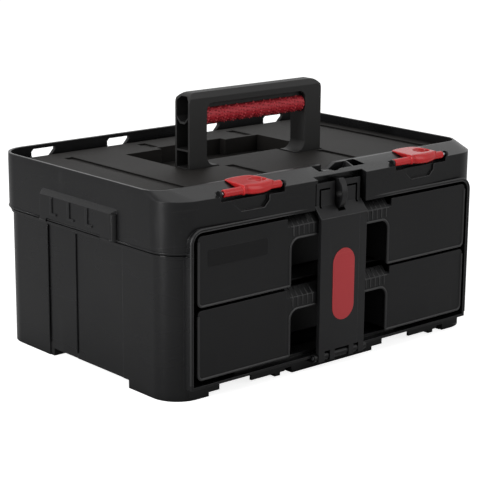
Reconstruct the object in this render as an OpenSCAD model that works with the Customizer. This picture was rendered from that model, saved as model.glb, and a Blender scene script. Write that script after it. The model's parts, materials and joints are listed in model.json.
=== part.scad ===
// Portable tool box with two drawers, a folding carry handle, two stacking latches and a lock bar.
// Millimetres. Origin under the middle of the box on the surface it stands on, front towards -Y, +Z up.

/* [Body] */
// Width of the cover across its side walls
body_w = 481; // [440:1:560]
// Depth of the cover from the middle of its front to its back
body_d = 335; // [310:1:400]
// Corner radius seen from above
corner_r = 38; // [30:1:50]
// How far the middle of the cover's front stands out past its ends
bow = 5; // [1:0.5:8]
// Wall of the cover
cover_wall = 3; // [2:0.5:4]
// Wall of the casing
casing_wall = 3; // [2:0.5:4]
// How far the casing stands back from the cover all round
casing_inset = 4.5; // [3:0.5:6]
// Height of the belly of the casing above its feet
foot_h = 9; // [6:0.5:12]
// Height of the sill above the belly
sill_h = 8.5; // [7:0.5:12]

/* [Cover] */
// Height of the apron from the drawer opening up to the sloped edge
apron_h = 33.5; // [30:0.5:45]
// Rise of the sloped front edge
bevel_rise = 8.5; // [6:0.5:14]
// Depth of the sloped front edge from front to back
bevel_d = 30; // [24:1:38]
// Depth of the tray below the rim
tray_d = 11; // [8:0.5:14]
// Thickness of the deck
deck_t = 2.6; // [2:0.2:4]
// Thickness of the side rim
rim_t = 4; // [3:0.5:6]
// Thickness of the rear rim
rear_rim_t = 5; // [4:0.5:8]
// Height of the cover's skirt below the top of the drawer opening
skirt_h = 23; // [15:1:32]
// Width of a slot in the rear rim
slot_w = 34; // [26:1:40]
// Height of a slot in the rear rim
slot_h = 11; // [8:0.5:12]

/* [Drawers] */
// Width of the body beside the drawer fronts, on each side
side_w = 32; // [30:0.5:40]
// Height of a drawer front
front_h = 77.2; // [70:0.1:100]
// Thickness of a drawer front
front_t = 3.2; // [2.5:0.1:5]
// Gap between the two drawer fronts, and around them
front_gap = 3.7; // [3:0.1:6]
// Depth of a drawer tub
tub_d = 290; // [260:1:292]
// Wall of a drawer tub
tub_wall = 2.5; // [2:0.1:4]
// Half width of the arched finger recess
arch_half = 76.4; // [60:0.1:85]
// Height of the arched finger recess
arch_h = 53.5; // [45:0.5:58]
// Depth of the bay behind the finger recess
bay_d = 55; // [50:1:70]

/* [Handle] */
// Half width of the handle
handle_half = 103; // [90:1:110]
// Width of a handle leg
leg_w = 26; // [22:1:30]
// Thickness of the handle from front to back
handle_t = 26; // [22:1:28]
// Height of the handle above its pivots
handle_h = 92.6; // [80:0.1:105]
// Distance of the pivots behind the front
pivot_back = 157; // [150:1:170]
// Radius of a handle pivot pin
handle_pin_r = 4; // [3:0.5:5]
// Radius of the red grip
grip_r = 9.8; // [8:0.1:11]

/* [Latches] */
// Distance of each latch from the middle
latch_x = 130.7; // [120:0.1:150]
// Width of a latch
latch_w = 85; // [70:1:95]
// Radius of a latch pin
latch_pin_r = 1.8; // [1.5:0.1:2.5]

/* [Lock bar] */
// Width of the lock bar
bar_w = 72; // [60:1:84]
// How far the lock bar stands out from the apron
bar_proud = 5; // [4:0.5:8]
// Thickness of the lock bar's plate
bar_t = 3.5; // [3:0.1:4]
// Height of the hinge pin above the surface
bar_pin_z = 14; // [13:0.5:16]
// Radius of the hinge pin
bar_pin_r = 2.5; // [2:0.1:3]
// Width of the badge
badge_w = 34; // [24:1:44]
// Height of the badge
badge_h = 84; // [60:1:110]
// Radius of the padlock hole
padlock_r = 4; // [3:0.1:4.5]

/* [Fits] */
// Radial clearance of a pin in its bore
pin_fit = 0.05; // [0.02:0.01:0.1]
// Clearance of a drawer tongue in its runner
slide_fit = 0.4; // [0.3:0.1:0.6]

/* [Hidden] */
$fn = 64;

black = [0.15, 0.15, 0.155];
dark = [0.09, 0.09, 0.095];
red = [0.78, 0.10, 0.13];
steel = [0.62, 0.63, 0.65];

eps = 0.01;
badge_proud = 0.6;
half_w = body_w / 2;
front_y = (bar_proud + badge_proud - body_d) / 2;
rear_y = front_y + body_d;
flat_half = half_w - corner_r;

// heights, from the ground up
belly_z = foot_h;
floor_t = 3;
sill_z = belly_z + sill_h;
lower_z = sill_z + 6.5;
upper_z = lower_z + front_h + front_gap;
opening_z = upper_z + front_h + front_gap;
seam_z = opening_z - skirt_h;
bevel_z = opening_z + apron_h;
rim_z = bevel_z + bevel_rise;
deck_z = rim_z - tray_d;

// drawer opening and its frame
front_half = half_w - side_w;
opening_half = front_half + 5.5;
opening_r = 12;
sill_d = 30;
frame_t = 3.5;
frame_y = front_y + 1.2;

// casing outline
case_half = half_w - casing_inset;
case_front = front_y + bow + casing_inset;
case_rear = rear_y - casing_inset;
case_r = corner_r - casing_inset;
inner_half = case_half - casing_wall;
inner_rear = case_rear - casing_wall;
lip_h = 8;
lip_t = 1.4;
ledge_w = 7;

// feet and latch sockets along the front
foot_w = 50;
front_foot_y = front_y + 86;
rear_foot_y = rear_y - 105;
mid_foot_half = 64;
socket_x = 126;
socket_w = 46;
socket_d = 24;
socket_z = 14.5;
sill_bar = [-148, 104];
sill_bar_h = 3;
tooth_half = 4;
panel_y = [front_y + 96, front_y + 182, front_y + 237];
panel_d = [0.6, 1.2];

// drawers
drawer_y = front_y + 1;
tub_y = drawer_y + front_t;
tub_rear = tub_y + tub_d;
tub_half = front_half - 5.5;
tub_drop = 8;
tub_lift = 2;
tub_h = front_h - tub_drop - tub_lift;
strip_half = arch_half + 2;
strip_d = 12;
strip_slope = 9.5;
bay_half = arch_half + 2.8;
bay_r = 26;
tongue_lift = 45;
tongue_w = 8;
tongue_t = 4;
runner_y0 = case_front + case_r;
runner_y1 = case_rear - case_r;
runner_low = 5;
runner_high = 9;
tab_x = inner_half - 8;
tab_t = 3;
tab_h = 16;
tab_w = 18;
tab_front = 30;
tab_rear = 40;
screw_reach = 20;
screw_r = 1.4;
tab_lift = tongue_lift - runner_low - tab_h / 2;
divider_x = 110;
divider_t = 2;

// shelf
shelf_t = 2.3;
shelf_gap = 0.3;
shelf_z = lower_z + front_h + (front_gap - shelf_t) / 2;
shelf_y0 = case_front + 16;

// handle and its well
pivot_y = front_y + pivot_back;
handle_y0 = pivot_y - handle_t / 2;
handle_y1 = pivot_y + handle_t / 2;
pivot_z = deck_z - 6;
well_floor = pivot_z - handle_t / 2 - 1.5;
well_wall = 2.5;
well_half = handle_half + 2.5;
well_y0 = handle_y0 - 3;
well_y1 = pivot_y + handle_h + 12;
recess_half = 51;
recess_d = 10;
groove_half = 6.2;
groove_d = 2;
groove_y0 = front_y + bevel_d + 14;
groove_y1 = rear_y - 31;
slot_xs = [-176.5, -65, 82, 193.5];
leg_in = handle_half - leg_w;
flare = 16.5;
flare_r = 12;
slot_in = leg_in - flare - 1.5;
block_y1 = handle_y1 + 5;
handle_top = pivot_z + handle_h;
bar_drop = 13;
grip_y = pivot_y - 2.5;
grip_z = handle_top - bar_drop - 5 - grip_r;
web_t = 7;

// hooded grip on each side wall
grip_out = 6;
hood_y0 = front_y + 104;
hood_y1 = front_y + 236;
hood_z1 = rim_z - 29;
hood_wall = 1.5;
hood_slope = 5;
rib_out = 1.2;
rib_w = 4;

// latches
latch_y = front_y + 5.5;
latch_z = bevel_z + 3;
latch_r = 4.3;
band_r = 8;
notch_half = latch_w / 2 + 1.5;
notch_y = latch_y + band_r + 0.8;
notch_z = latch_z - band_r - 0.6;
ear_w = 2.5;
lug_r = 3.8;
bevel_slope = bevel_rise / bevel_d;

// lock bar
bar_y = front_y - bar_proud;
bar_half = bar_w / 2;
bar_pin_y = front_y + 1;
barrel_r = bar_pin_r + 2.5;
shoulder_z = upper_z + front_h - 7;
head_y = front_y + 6;
head_z = opening_z + 28;
pocket_half = bar_half + 2;
pocket_y = front_y + 14;
pocket_z = opening_z + 35.5;
fin_half = 4;
fin_z0 = opening_z - 3;
fin_z1 = opening_z + 31;
fin_hole_y = front_y + 1;
fin_hole_z = (fin_z0 + fin_z1) / 2;
bar_ears = [[-27, -19], [-11, 11], [19, 27]];
ear_gap = 0.4;
badge_z = sill_z + 78.5;

module box(x0, x1, y0, y1, z0, z1) {
    translate([x0, y0, z0]) cube([x1 - x0, y1 - y0, z1 - z0]);
}

module rounded_rect(x0, x1, y0, y1, r) {
    translate([x0 + r, y0]) square([x1 - x0 - 2 * r, y1 - y0]);
    translate([x0, y0 + r]) square([x1 - x0, y1 - y0 - 2 * r]);
    for (x = [x0 + r, x1 - r], y = [y0 + r, y1 - r]) translate([x, y]) circle(r);
}

// the shallow bulge of the front, as a parabola
module bulge(y0) {
    steps = 12;
    polygon([
        for (k = [0:steps]) let (t = 2 * k / steps - 1) [t * flat_half, y0 + bow * t * t],
        [flat_half, y0 + bow + corner_r],
        [-flat_half, y0 + bow + corner_r]
    ]);
}

module cover_plan(inset) {
    rounded_rect(-half_w + inset, half_w - inset, front_y + bow + inset, rear_y - inset, corner_r - inset);
    bulge(front_y + inset);
}

module top_plan() {
    x = half_w - 1;
    rounded_rect(-x, x, front_y + bow + bevel_d, corner_r, corner_r - 14);
    rounded_rect(-x, x, -corner_r, rear_y - 1, corner_r - 3);
    bulge(front_y + bevel_d);
}

module tray_plan() {
    x = half_w - rim_t;
    rounded_rect(-x, x, front_y + bow + bevel_d + 2, corner_r, corner_r - 18);
    rounded_rect(-x, x, -corner_r, rear_y - rear_rim_t, corner_r - 7);
}

module casing_plan(inset) {
    rounded_rect(-case_half + inset, case_half - inset, case_front + inset, case_rear - inset, case_r - inset);
}

// an XZ outline pushed from y0 to y1
module along_y(y0, y1) {
    translate([0, y1, 0]) rotate([90, 0, 0]) linear_extrude(y1 - y0) children();
}

// a YZ outline pushed from x0 to x1
module along_x(x0, x1) {
    translate([x0, 0, 0]) rotate([90, 0, 90]) linear_extrude(x1 - x0) children();
}

module rod_x(x0, x1, y, z, r) {
    translate([x0, y, z]) rotate([0, 90, 0]) cylinder(r = r, h = x1 - x0);
}

module rod_z(x, y, z0, z1, r) {
    translate([x, y, z0]) cylinder(r = r, h = z1 - z0);
}

// outline of the drawer opening, grown by g
module opening_outline(g) {
    x = opening_half + g;
    r = opening_r + g;
    translate([-x, sill_z]) square([2 * x, opening_z + g - r - sill_z]);
    translate([-x + r, sill_z]) square([2 * (x - r), opening_z + g - sill_z]);
    for (s = [-1, 1]) translate([s * (x - r), opening_z + g - r]) circle(r);
}

module opening_frame() {
    along_y(frame_y, case_front + 12) difference() {
        opening_outline(frame_t);
        opening_outline(0);
    }
}

// ---------- casing ----------

module feet_block(g, z0, z1) {
    for (s = [-1, 1]) {
        x0 = s > 0 ? case_half - foot_w + g : -case_half + g;
        box(x0, x0 + foot_w - 2 * g, case_front + g, front_foot_y - g, z0, z1);
        box(x0, x0 + foot_w - 2 * g, rear_foot_y + g, case_rear - g, z0, z1);
    }
    box(-mid_foot_half + g, mid_foot_half - g, case_front + g, case_front + 34 - g, z0, z1);
}

module feet() {
    intersection() {
        linear_extrude(belly_z + eps) casing_plan(0);
        feet_block(0, -1, belly_z + 1);
    }
}

module feet_hollows() {
    intersection() {
        linear_extrude(belly_z + floor_t + 1) casing_plan(casing_wall);
        feet_block(casing_wall, floor_t, belly_z + floor_t + 1);
    }
}

module bar_ears_solid() {
    outer = [[-bar_half - 5, -bar_half - ear_gap], [bar_half + ear_gap, bar_half + 5]];
    for (e = concat(bar_ears, outer)) {
        rod_x(e[0], e[1], bar_pin_y, bar_pin_z, barrel_r);
        box(e[0], e[1], bar_pin_y, case_front + eps, bar_pin_z - barrel_r, bar_pin_z + barrel_r - 1.5);
    }
}

module tooth(x) {
    box(x - tooth_half, x + tooth_half, case_front, case_front + 10, 1, belly_z + 1);
}

module casing() {
    color(black) difference() {
        union() {
            difference() {
                translate([0, 0, belly_z]) linear_extrude(seam_z - belly_z) casing_plan(0);
                translate([0, 0, belly_z + floor_t]) linear_extrude(seam_z) casing_plan(casing_wall);
                // drawer opening
                along_y(case_front - 20, case_front + 45) intersection() {
                    opening_outline(0);
                    translate([-half_w, sill_z]) square([body_w, seam_z]);
                }
            }
            // lip inside the cover
            translate([0, 0, seam_z - 4]) linear_extrude(lip_h + 4) difference() {
                casing_plan(casing_wall - lip_t);
                casing_plan(casing_wall);
                translate([-opening_half - frame_t, case_front - 5]) square([2 * (opening_half + frame_t), 60]);
            }
            // frame around the opening, up to the seam
            intersection() {
                opening_frame();
                box(-half_w, half_w, front_y, rear_y, 0, seam_z);
            }
            // sill
            box(-opening_half - frame_t, opening_half + frame_t, frame_y, case_front + sill_d, sill_z - 3, sill_z);
            box(sill_bar[0], sill_bar[1], case_front + 2, case_front + 8, sill_z - eps, sill_z + sill_bar_h);
            box(-opening_half, opening_half, case_front, case_front + casing_wall, 4.5, sill_z);
            for (s = [-1, 1])
                box(s * socket_x - socket_w - 1, s * socket_x + 3, case_front, case_front + socket_d + 2, belly_z, sill_z - 2);
            // ledges for the shelf
            for (s = [-1, 1]) {
                x0 = s > 0 ? inner_half - ledge_w : -inner_half - eps;
                box(x0, x0 + ledge_w + eps, runner_y0, runner_y1, shelf_z - 3, shelf_z);
            }
            feet();
            bar_ears_solid();
            for (s = [-1, 1]) tooth(s * socket_x + 40);
            runner_bosses(upper_z);
            runner_bosses(lower_z);
            cover_tabs();
            seam_bead();
        }
        // latch sockets and notches in the front edge
        for (s = [-1, 1]) {
            x1 = s * socket_x + 1;
            box(x1 - socket_w, x1, case_front - 20, case_front + socket_d, -1, socket_z);
            box(x1 + 50, x1 + 60, case_front - 1, case_front + casing_wall + 1, -1, 7.5);
        }
        feet_hollows();
        bar_notches();
        rod_x(-bar_half - 6, bar_half + 6, bar_pin_y, bar_pin_z, bar_pin_r + pin_fit);
        side_panels();
        runner_screw_holes(upper_z);
        runner_screw_holes(lower_z);
        for (p = shelf_screw_spots()) rod_z(p[0], p[1], shelf_z - 4, shelf_z + 1, screw_r + pin_fit);
        for (p = cover_screw_spots()) rod_z(p[0], p[1], seam_z, seam_z + 8, screw_r + 0.4);
    }
}

// gaps in the sill between the ears, where the barrels of the lock bar turn
module bar_notches() {
    gaps = [[-bar_half - ear_gap, -27], [-19, -11], [11, 19], [27, bar_half + ear_gap]];
    for (g = gaps) box(g[0], g[1], front_y - 10, case_front, -1, sill_z + 1);
}

// shallow recessed panel in each side wall
module side_panels() {
    for (s = [-1, 1]) {
        x0 = s > 0 ? case_half - panel_d[1] : -case_half - 1;
        box(x0, x0 + panel_d[1] + 1, panel_y[1], panel_y[2], -1, seam_z - 4);
        x1 = s > 0 ? case_half - panel_d[0] : -case_half - 1;
        box(x1, x1 + panel_d[0] + 1, panel_y[0], panel_y[1] + eps, -1, seam_z - 4);
    }
}

module seam_bead() {
    translate([0, 0, seam_z - 5]) linear_extrude(3) difference() {
        casing_plan(-2);
        casing_plan(0.5);
        translate([-opening_half - frame_t, front_y - 5]) square([2 * (opening_half + frame_t), 60]);
    }
}

function tab_spots() = [runner_y0 + tab_front, runner_y1 - tab_rear];
function shelf_screw_spots() = [
    for (x = [-1, 1], y = [shelf_y0 + 38, inner_rear - 60]) [x * (inner_half - ledge_w / 2), y]
];
function cover_screw_spots() = [for (x = [-1, 1], k = [0:2]) [x * (inner_half - 10), front_y + 75 + 95 * k]];

module runner_bosses(z) {
    for (s = [-1, 1], y = tab_spots()) {
        x0 = s > 0 ? tab_x : -inner_half - eps;
        rod_x(x0, x0 + inner_half - tab_x + eps, y, z + tab_lift, 4.5);
    }
}

module runner_screw_holes(z) {
    for (s = [-1, 1], y = tab_spots()) {
        x0 = s > 0 ? tab_x - 1 : -case_half + 1.5;
        x1 = s > 0 ? case_half - 1.5 : -tab_x + 1;
        rod_x(x0, x1, y, z + tab_lift, screw_r + pin_fit);
    }
}

module cover_tabs() {
    for (p = cover_screw_spots()) {
        x0 = p[0] > 0 ? p[0] - 6 : -inner_half - 1;
        x1 = p[0] > 0 ? inner_half + 1 : p[0] + 6;
        box(x0, x1, p[1] - 7, p[1] + 7, seam_z + 2, seam_z + 5);
    }
}

// ---------- top cover ----------

module cover_body() {
    translate([0, 0, seam_z]) linear_extrude(bevel_z - seam_z) cover_plan(0);
    hull() {
        translate([0, 0, bevel_z - eps]) linear_extrude(eps) cover_plan(0);
        translate([0, 0, rim_z - eps]) linear_extrude(eps) top_plan();
    }
}

module side_hood(s, g) {
    x = half_w + grip_out - g;
    outline = [
        [half_w - 2, hood_y0 - grip_out + g], [half_w, hood_y0 - grip_out + g],
        [x, hood_y0 + g], [x, hood_y1 - g], [half_w - 2, hood_y1 + grip_out / 2 - g]
    ];
    side = [
        [half_w - 3, seam_z - (g > 0 ? 1 : 0)], [half_w + grip_out, seam_z - (g > 0 ? 1 : 0)],
        [half_w + grip_out, hood_z1 - hood_slope - g], [half_w, hood_z1 - g], [half_w - 3, hood_z1 - g]
    ];
    mirror([s > 0 ? 0 : 1, 0, 0]) intersection() {
        translate([0, 0, seam_z - 1]) linear_extrude(hood_z1 - seam_z + 2) polygon(outline);
        along_y(hood_y0 - 20, hood_y1 + 20) polygon(side);
    }
}

module side_hoods() {
    for (s = [-1, 1]) difference() {
        side_hood(s, 0);
        side_hood(s, hood_wall);
        // fingers reach in from below
        mirror([s > 0 ? 0 : 1, 0, 0])
            box(half_w, half_w + grip_out + 1, hood_y0 + 16, hood_y1 - 12, seam_z - 1, seam_z + 4.5);
    }
    // ribs on the outside of each hood
    for (s = [-1, 1], k = [0:2]) {
        x0 = s > 0 ? half_w + grip_out - eps : -half_w - grip_out - rib_out;
        y = hood_y0 + 39 + 34 * k;
        box(x0, x0 + rib_out + eps, y, y + rib_w, seam_z + 10, hood_z1 - hood_slope - 1);
        box(x0, x0 + rib_out + eps, y - 8, y + eps, seam_z + 10, seam_z + 12.5);
    }
}

module rear_slots() {
    low = deck_z - 4.5;
    high = low + slot_h;
    for (x = slot_xs) {
        left = x - slot_w / 2;
        right = x + slot_w / 2;
        along_y(rear_y - rear_rim_t - 1, rear_y + 1)
            polygon([
                [left, low + 3], [left + 3, low], [right - 7, low], [right, low + 7.5],
                [right, high], [left + 3, high], [left, high - 3]
            ]);
    }
}

// channels that cross the deck from front to back, grown by g
module deck_grooves(g, z0, z1) {
    w = groove_half + g;
    for (x = [-169.5, 214]) box(x - w, x + w, groove_y0, groove_y1 - 15 + g, z0, z1);
    for (x = [-50, 94]) {
        y = x < 0 ? well_y1 + recess_d : well_y1;
        box(x - w, x + w, groove_y0, handle_y0 - 7 + g, z0, z1);
        box(x - w, x + w, y + 5 - g, groove_y1 + g, z0, z1);
    }
}

module well_plan(g) {
    translate([-well_half - g, block_y1 - g]) square([2 * (well_half + g), well_y1 - block_y1 + 2 * g]);
    // room for the fingers behind the grip
    translate([-recess_half - g, well_y1 - 1]) square([2 * (recess_half + g), recess_d + 1 + g]);
    for (s = [-1, 1]) {
        x0 = s > 0 ? slot_in - g : -well_half - g;
        translate([x0, well_y0 - g]) square([well_half - slot_in + 2 * g, block_y1 - well_y0 + 2 * g]);
    }
}

module latch_notch(xc, g) {
    box(xc - notch_half - g, xc + notch_half + g, front_y - 5, notch_y + g, notch_z - g, rim_z + 1);
}

module pivot_bosses() {
    for (s = [-1, 1]) intersection() {
        x0 = s > 0 ? well_half : -well_half - 6;
        rod_x(x0, x0 + 6, pivot_y, pivot_z, handle_pin_r + 3);
        box(-half_w, half_w, front_y, rear_y, seam_z, deck_z - 0.5);
    }
}

// outer part of the cover: rim, side walls, apron and sloped edge
module top_cover() {
    color(black) difference() {
        union() {
            difference() {
                cover_body();
                // room for the deck and the tray above it
                translate([0, 0, seam_z]) linear_extrude(rim_z - seam_z + 1) tray_plan();
                // hollow underneath
                translate([0, 0, seam_z - 1]) linear_extrude(deck_z - deck_t - seam_z + 1) cover_plan(cover_wall);
            }
            side_hoods();
            // walls of the latch notches and of the pocket for the lock bar
            for (s = [-1, 1]) {
                intersection() {
                    union() {
                        latch_notch(s * latch_x, ear_w);
                        box(s * latch_x - 29, s * latch_x + 25, front_y, front_y + bow + 5, bevel_z - 21, notch_z);
                    }
                    box(-half_w, half_w, front_y + 3, rear_y, seam_z, bevel_z - 1);
                    cover_inside();
                }
                for (e = [-notch_half - ear_w, notch_half]) {
                    rod_x(s * latch_x + e, s * latch_x + e + ear_w, latch_y, latch_z, lug_r);
                    box(s * latch_x + e, s * latch_x + e + ear_w, latch_y - lug_r + 1.5, latch_y + lug_r, bevel_z - 2, latch_z);
                }
            }
            intersection() {
                union() {
                    box(-pocket_half - 2.5, pocket_half + 2.5, front_y, pocket_y + 2.5, opening_z, bevel_z - 1);
                    box(-pocket_half - 2.5, pocket_half + 2.5, pocket_y - 1, pocket_y + 2.5, opening_z, bevel_z + 2.5);
                }
                cover_inside();
            }
            // frame around the opening, down to the seam
            intersection() {
                opening_frame();
                box(-half_w, half_w, front_y, rear_y, seam_z, opening_z + 10);
            }
        }
        rear_slots();
        for (s = [-1, 1]) {
            latch_notch(s * latch_x, 0);
            finger_notch(s * latch_x);
            rod_x(s * latch_x - notch_half - 2, s * latch_x + notch_half + 2, latch_y, latch_z, latch_pin_r + pin_fit);
        }
        // pocket for the head of the lock bar
        box(-pocket_half, pocket_half, front_y - 5, pocket_y, opening_z - 10, pocket_z);
        // drawer opening
        along_y(front_y - 5, case_front + 40) opening_outline(0);
        box(-opening_half, opening_half, frame_y - 10, front_y + 60, seam_z - 1, opening_z - opening_r);
        bevel_facets();
    }
}

// inner part of the cover: the deck, with the handle well and the screw bosses hanging under it
module cover_deck() {
    color(black) difference() {
        union() {
            translate([0, 0, deck_z - deck_t]) linear_extrude(deck_t) tray_plan();
            // channel floor along the rear rim
            translate([0, 0, deck_z - 8]) linear_extrude(7) intersection() {
                translate([-half_w, rear_y - 20]) square([body_w, 20]);
                tray_plan();
            }
            // walls of the handle well
            translate([0, 0, well_floor - well_wall]) linear_extrude(deck_z - well_floor + well_wall - 0.5)
                well_plan(well_wall);
            pivot_bosses();
            deck_grooves(2, deck_z - groove_d - 2, deck_z - 1);
            for (p = cover_screw_spots()) rod_z(p[0], p[1], seam_z + 5, deck_z - 1, 5);
        }
        // channel along the rear rim
        box(-half_w + rim_t + 8, half_w - rim_t - 8, rear_y - 18, rear_y, deck_z - 5, deck_z + 1);
        deck_grooves(0, deck_z - groove_d, deck_z + 1);
        translate([0, 0, well_floor]) linear_extrude(40) well_plan(0);
        for (s = [-1, 1]) {
            x0 = s > 0 ? slot_in - 10 : -well_half - 7;
            rod_x(x0, x0 + well_half - slot_in + 17, pivot_y, pivot_z, handle_pin_r + pin_fit);
        }
        for (p = cover_screw_spots()) rod_z(p[0], p[1], seam_z + 4, seam_z + screw_reach + 2, screw_r + pin_fit);
    }
}

// everything that lies inside the outer skin of the cover
module cover_inside() {
    translate([0, 0, seam_z]) linear_extrude(rim_z - seam_z) cover_plan(1);
}

module finger_notch(xc) {
    along_y(front_y - 5, front_y + 2.2 + bow / 2)
        polygon([
            [xc - 26, notch_z + 1], [xc - 26, bevel_z - 11], [xc - 17, bevel_z - 18.5],
            [xc + 15, bevel_z - 18.5], [xc + 22, bevel_z - 11.5], [xc + 22, notch_z + 1]
        ]);
}

// notch and scoops in the front rim, above the pocket
module bevel_facets() {
    ridge_y = front_y + bevel_d;
    scoop_y = front_y + 17;
    low = deck_z + 0.8;
    mid = deck_z + 4.8;
    top = rim_z + 1;
    along_y(scoop_y, ridge_y + 1) polygon([[-20, low], [-4, low], [-4, top], [-20, top]]);
    along_y(scoop_y - 3, ridge_y + bow + 12) polygon([[-4 - eps, mid], [7, mid], [20, top], [-4 - eps, top]]);
    along_y(scoop_y, ridge_y + 1) polygon([[7, low], [7, mid + eps], [20, top], [34, top], [28, low]]);
    along_y(scoop_y, ridge_y + 3) polygon([[30, low], [36, top], [47, top], [58, low]]);
}

// eye for a padlock, standing out of the pocket
module padlock_eye() {
    nose_r = 24;
    color(black) difference() {
        along_x(-fin_half, fin_half) intersection() {
            translate([bar_y, fin_z0]) square([pocket_y - bar_y, fin_z1 - fin_z0]);
            translate([bar_y + nose_r, fin_hole_z]) circle(nose_r);
        }
        rod_x(-fin_half - 1, fin_half + 1, fin_hole_y, fin_hole_z, padlock_r);
    }
}

// ---------- inside ----------

module mid_shelf() {
    color(dark) difference() {
        translate([0, 0, shelf_z]) linear_extrude(shelf_t)
            rounded_rect(-inner_half + shelf_gap, inner_half - shelf_gap, shelf_y0, inner_rear - shelf_gap, case_r - casing_wall);
        for (p = shelf_screw_spots()) rod_z(p[0], p[1], shelf_z - 1, shelf_z + shelf_t + 1, screw_r + 0.2);
    }
}

module runner(s, z) {
    zt = z + tongue_lift;
    groove_x = tub_half + tongue_w + 1;
    color(dark) mirror([s > 0 ? 0 : 1, 0, 0]) difference() {
        union() {
            box(tub_half + 1.8, inner_half, runner_y0, runner_y1, zt - runner_low, zt + runner_high);
            for (y = tab_spots())
                box(tab_x - tab_t, tab_x, y - tab_w / 2, y + tab_w / 2, zt - runner_low - tab_h, zt - runner_low + eps);
        }
        box(tub_half, groove_x, runner_y0 - 1, runner_y1 + 1, zt - slide_fit, zt + tongue_t + slide_fit);
        box(groove_x + 3, inner_half - 3, runner_y0 - 1, runner_y1 + 1, zt - runner_low + 2.5, zt + runner_high - 2.5);
        for (y = tab_spots())
            rod_x(tab_x - tab_t - 1, tab_x + 1, y, z + tab_lift, screw_r + pin_fit);
    }
}

module upper_runner_left() { runner(-1, upper_z); }
module upper_runner_right() { runner(1, upper_z); }
module lower_runner_left() { runner(-1, lower_z); }
module lower_runner_right() { runner(1, lower_z); }

module runner_screws() {
    color(steel) for (s = [0, 1], z = [upper_z, lower_z], y = tab_spots()) {
        mirror([s, 0, 0]) {
            rod_x(tab_x - tab_t - eps, case_half - 2, y, z + tab_lift, screw_r);
            rod_x(tab_x - tab_t - 2, tab_x - tab_t, y, z + tab_lift, 3.2);
        }
    }
}

module shelf_screws() {
    color(steel) for (p = shelf_screw_spots()) {
        rod_z(p[0], p[1], shelf_z - 3.5, shelf_z + shelf_t + eps, screw_r);
        rod_z(p[0], p[1], shelf_z + shelf_t, shelf_z + shelf_t + 2, 3);
    }
}

module cover_screws() {
    color(steel) for (p = cover_screw_spots()) {
        rod_z(p[0], p[1], seam_z + 2 - eps, seam_z + screw_reach, screw_r);
        rod_z(p[0], p[1], seam_z, seam_z + 2, 3.4);
    }
}

// ---------- drawers ----------

module tub_plan(g) {
    r = 8;
    x = bay_half + g;
    y = tub_y + bay_d + g;
    difference() {
        rounded_rect(-tub_half + g, tub_half - g, tub_y + g, tub_rear - g, r - g);
        translate([-x, tub_y - 10]) square([2 * x, y - bay_r - tub_y + 10]);
        translate([-x + bay_r, tub_y - 10]) square([2 * (x - bay_r), y - tub_y + 10]);
        for (s = [-1, 1]) translate([s * (x - bay_r), y - bay_r]) circle(bay_r);
    }
}

module tub(z) {
    z0 = z + tub_lift;
    color(black) {
        difference() {
            translate([0, 0, z0]) linear_extrude(tub_h) tub_plan(0);
            translate([0, 0, z0 + tub_wall]) linear_extrude(tub_h) tub_plan(tub_wall);
        }
        // roof of the finger bay
        translate([0, 0, z0 + tub_h - tub_wall]) linear_extrude(tub_wall) difference() {
            translate([-bay_half - 1, drawer_y + strip_d]) square([2 * bay_half + 2, bay_d + front_t - strip_d + 1]);
            tub_plan(tub_wall);
        }
        // tongues that ride in the runners
        for (s = [-1, 1]) {
            x0 = s > 0 ? tub_half - eps : -tub_half - tongue_w;
            box(x0, x0 + tongue_w + eps, runner_y0, tub_rear - 4, z + tongue_lift, z + tongue_lift + tongue_t);
        }
        divider_ribs(z0);
    }
}

module divider_ribs(z0) {
    for (x = [-divider_x, divider_x], d = [-3.2, 1.2], y = [tub_y + tub_wall - eps, tub_rear - tub_wall - 3])
        box(x + d, x + d + 2, y, y + 3 + eps, z0 + tub_wall - eps, z0 + tub_h - 6);
}

module dividers(z) {
    z0 = z + tub_lift + tub_wall;
    color(dark) for (x = [-divider_x, divider_x])
        box(x - divider_t / 2, x + divider_t / 2, tub_y + tub_wall + 0.3, tub_rear - tub_wall - 0.3, z0, z0 + tub_h - 14);
}

module front_panel(z) {
    z1 = z + front_h;
    arch_r = 12;
    color(black) difference() {
        union() {
            along_y(drawer_y, drawer_y + front_t)
                rounded_rect(-front_half, front_half, z, z1, 5);
            box(-strip_half, strip_half, drawer_y, drawer_y + strip_d, z + arch_h - 3, z1);
            // lips behind the edges
            for (s = [-1, 1]) {
                x0 = s > 0 ? front_half - 2.5 : -front_half;
                box(x0, x0 + 2.5, drawer_y + front_t - eps, drawer_y + 9, z + 5, z1 - 5);
            }
        }
        // arched recess
        along_y(drawer_y - 5, drawer_y + strip_d + 1) {
            translate([-arch_half, z - 1]) square([2 * arch_half, arch_h + 1 - arch_r]);
            translate([-arch_half + arch_r, z - 1]) square([2 * (arch_half - arch_r), arch_h + 1]);
            for (s = [-1, 1]) translate([s * (arch_half - arch_r), z + arch_h - arch_r]) circle(arch_r);
        }
        // slope along the top of the pull strip
        along_x(-strip_half - 3, strip_half + 3)
            polygon([
                [drawer_y - 1, z1 - strip_slope - 1], [drawer_y + strip_slope + 1, z1 + 1], [drawer_y - 1, z1 + 1]
            ]);
    }
    // ribs on the slope
    rib_pitch = 7.5;
    color(black) for (s = [-1, 1], k = [0:3]) {
        x = s * (strip_half - 6 - rib_pitch * k);
        along_x(x - 0.8, x + 0.8)
            polygon([
                [drawer_y + 0.5, z1 - strip_slope - 1.5], [drawer_y + strip_slope + 1.5, z1 - 0.5],
                [drawer_y + strip_slope + 0.4, z1 - 0.1], [drawer_y + 0.5, z1 - strip_slope + 0.6]
            ]);
    }
}

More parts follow.
